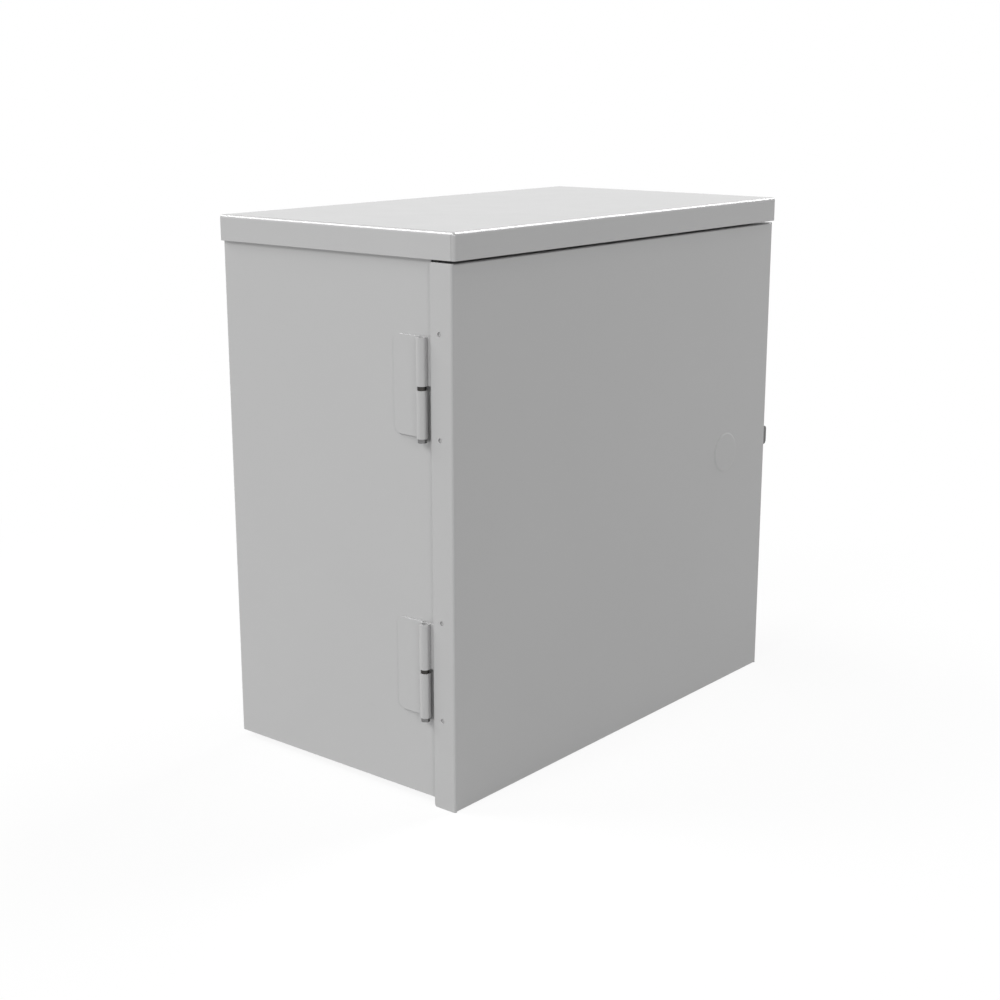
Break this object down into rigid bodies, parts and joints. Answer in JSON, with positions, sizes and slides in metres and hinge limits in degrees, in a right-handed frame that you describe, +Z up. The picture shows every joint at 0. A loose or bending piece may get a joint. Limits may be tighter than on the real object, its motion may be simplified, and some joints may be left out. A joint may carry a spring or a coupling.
{
  "type": "roadside utility cabinet",
  "caption": "Rain-tight roadside cabinet of folded sheet steel with an overhanging lid, a wrap-around door on lift-off hinges, a padlock hasp and an inner mounting panel.",
  "frame": {"origin": "middle of the four wall bolt holes, on the outer face of the back", "axes": "+X to the right along the front, +Y to the back into the wall, +Z up; the door faces -Y"},
  "size_m": [0.6367, 0.3405, 0.6108],
  "materials": {
    "cabinet_paint": "light grey powder coat, satin",
    "panel_paint": "white powder coat",
    "zinc_plate": "zinc plated",
    "hasp_steel": "dark zinc-nickel plated",
    "pin_steel": "turned stainless steel",
    "bearing_bronze": "dark sintered bronze, oiled",
    "lug_aluminium": "tin plated"
  },
  "bodies": {
    "cabinet": {"wrapper": "cabinet_paint", "bottom_pan": "cabinet_paint", "rain_header": "cabinet_paint", "lid": "cabinet_paint", "upper_hinge_body_leaf": "cabinet_paint", "upper_hinge_pin": "pin_steel", "upper_hinge_washer": "bearing_bronze", "lower_hinge_body_leaf": "cabinet_paint", "lower_hinge_pin": "pin_steel", "lower_hinge_washer": "bearing_bronze", "hasp_staple": "hasp_steel", "back_panel": "panel_paint", "panel_studs": "zinc_plate", "panel_nuts": "zinc_plate", "ground_stud": "zinc_plate", "ground_lug": "lug_aluminium", "lug_screw": "zinc_plate", "ground_nut": "zinc_plate"},
    "door": {"door": "cabinet_paint", "upper_hinge_door_leaf": "cabinet_paint", "lower_hinge_door_leaf": "cabinet_paint", "hasp_tab": "hasp_steel"}
  },
  "joints": [
    {"name": "door_hinge", "type": "hinge", "parent": "cabinet", "child": "door", "pos_m": [-0.30645, -0.29765, 0], "axis": [0, 0, -1], "range_deg": [0, 180]}
  ]
}
